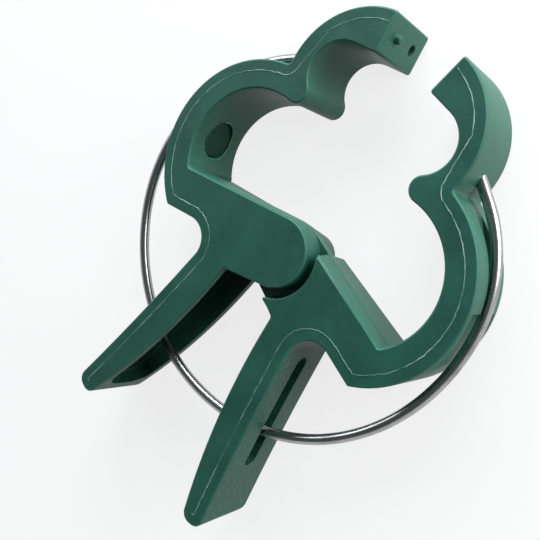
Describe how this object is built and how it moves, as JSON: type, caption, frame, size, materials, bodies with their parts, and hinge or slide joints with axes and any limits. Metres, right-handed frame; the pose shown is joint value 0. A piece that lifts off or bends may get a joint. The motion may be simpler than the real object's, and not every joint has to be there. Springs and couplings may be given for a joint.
{
  "type": "orchid clip",
  "caption": "Spring clip for plant stems: twin-lobed jaws on crossed levers with channelled handles, closed by a round wire ring.",
  "frame": {"origin": "hinge axis at the back face, on which the clip lies", "axes": "+Z along the hinge axis towards the front face, +Y towards the jaw tips, -X to the lever with the fork, +X to the lever with the tongue"},
  "size_m": [0.0526, 0.0656, 0.0104],
  "materials": {
    "green_plastic": "satin",
    "spring_wire": "bright drawn"
  },
  "bodies": {
    "fork": {"fork_lever": "green_plastic", "spring_ring": "spring_wire"},
    "tongue": {"tongue_lever": "green_plastic"}
  },
  "joints": [
    {"name": "jaw_hinge", "type": "hinge", "parent": "fork", "child": "tongue", "pos_m": [0, 0, 0.0052], "axis": [0, 0, -1], "range_deg": [-18, 34], "stiffness_Nm_per_rad": 0.11, "springref_deg": -38.96, "deforming": ["spring_ring"]}
  ]
}
